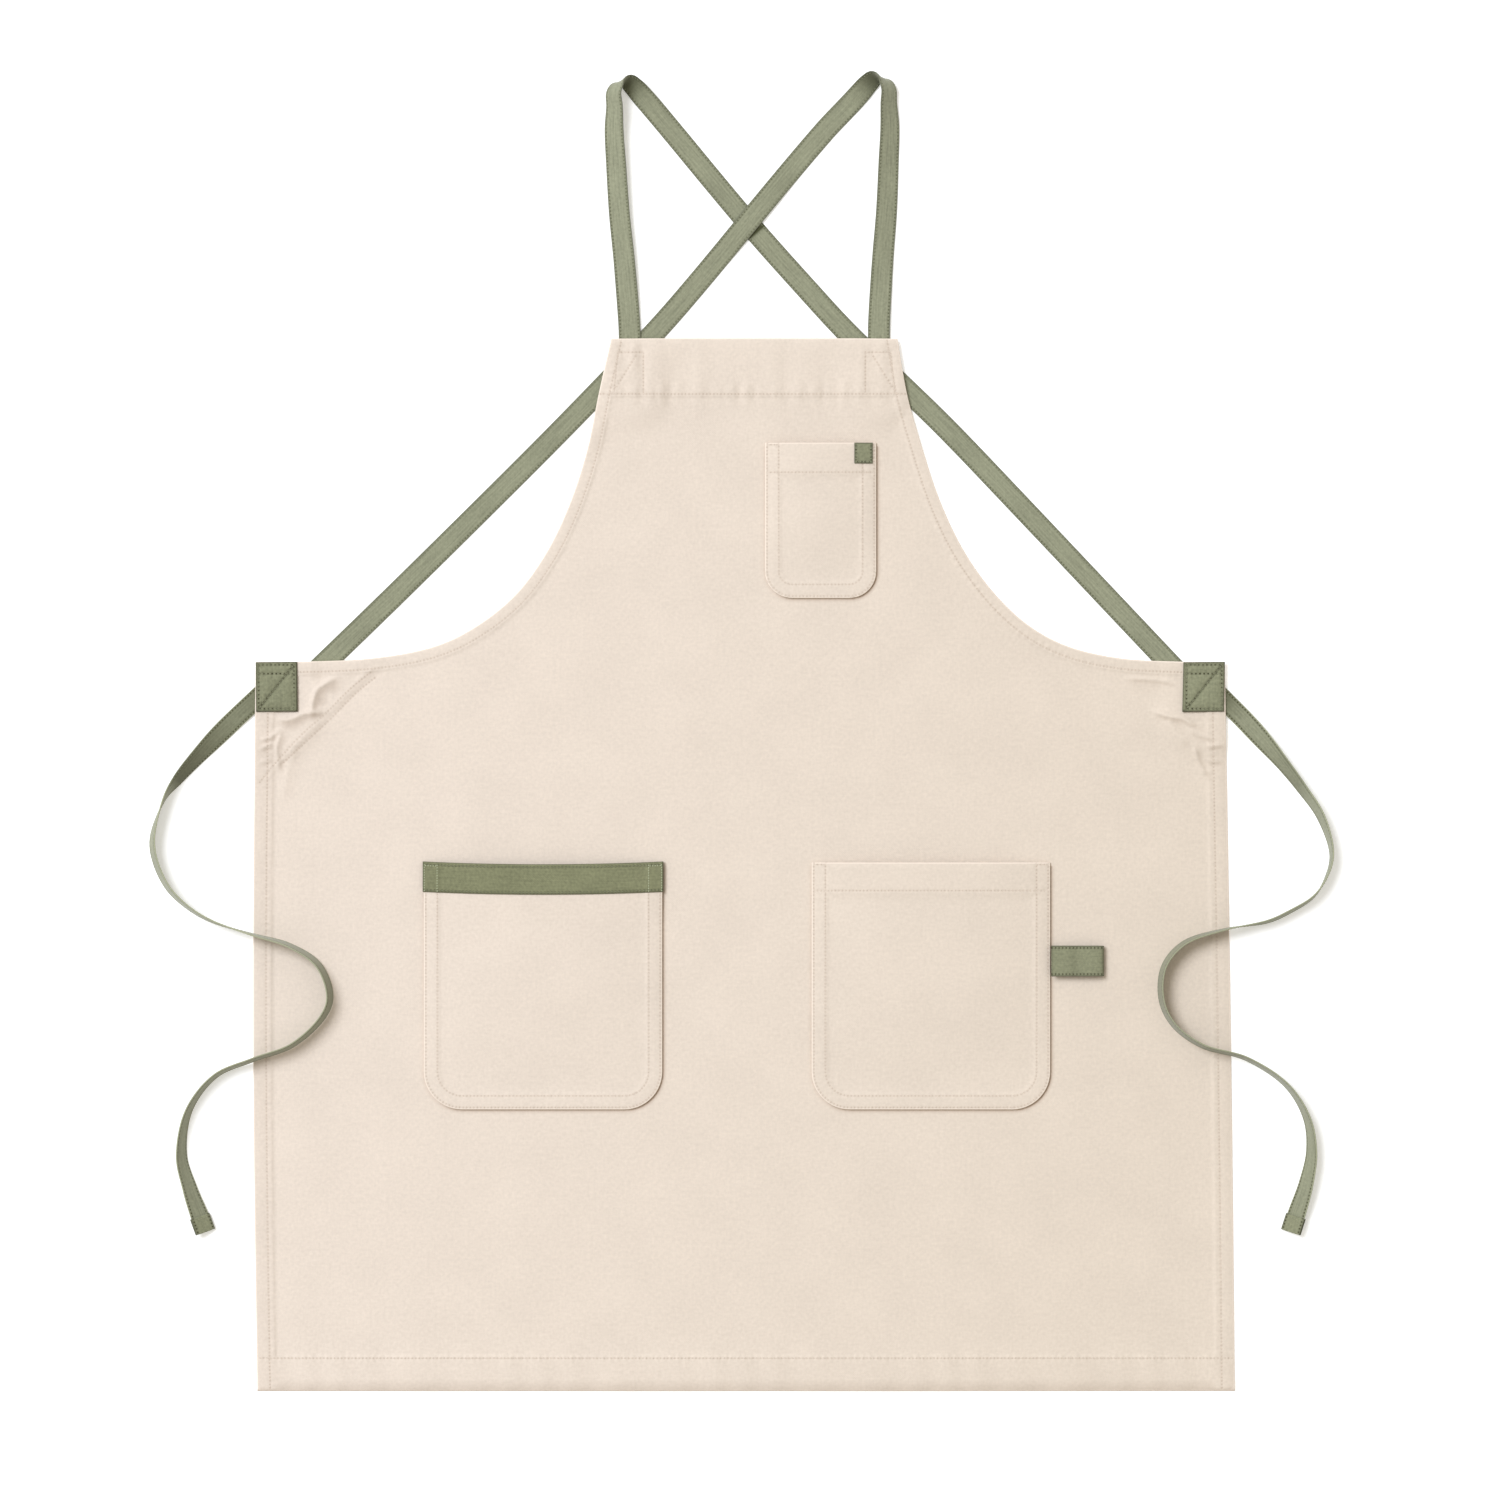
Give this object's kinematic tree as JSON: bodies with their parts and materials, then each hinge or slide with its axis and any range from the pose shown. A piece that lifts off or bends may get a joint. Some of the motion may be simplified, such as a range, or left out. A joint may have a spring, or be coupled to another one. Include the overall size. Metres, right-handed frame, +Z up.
{
  "type": "kitchen apron",
  "caption": "Bib apron of cream canvas lying flat, with crossed green shoulder straps, long waist ties, patch hip pockets, a chest pocket and a side tool loop",
  "frame": {"origin": "on the surface that the apron lies on, under the middle of its bounding box", "axes": "+Z is up out of the apron's front, +Y runs from the hem to the bib and the strap loops, +X is the right side as seen from above"},
  "size_m": [0.968, 1.0772, 0.0183],
  "materials": {
    "canvas": "matt cream cotton canvas",
    "strap": "matt sage cotton strap",
    "trim": "matt darker sage cotton twill"
  },
  "bodies": {
    "root": {"apron_body": "canvas", "hip_pocket_left": "canvas", "hip_pocket_right": "canvas", "chest_pocket": "canvas", "pocket_binding": "trim", "pocket_label": "trim", "tool_loop": "trim", "shoulder_strap_left": "strap", "shoulder_strap_right": "strap", "waist_patch_left": "trim", "waist_patch_right": "trim", "waist_tie_left": "strap", "waist_tie_right": "strap", "tie_end_tab_left": "trim", "tie_end_tab_right": "trim"}
  },
  "joints": []
}
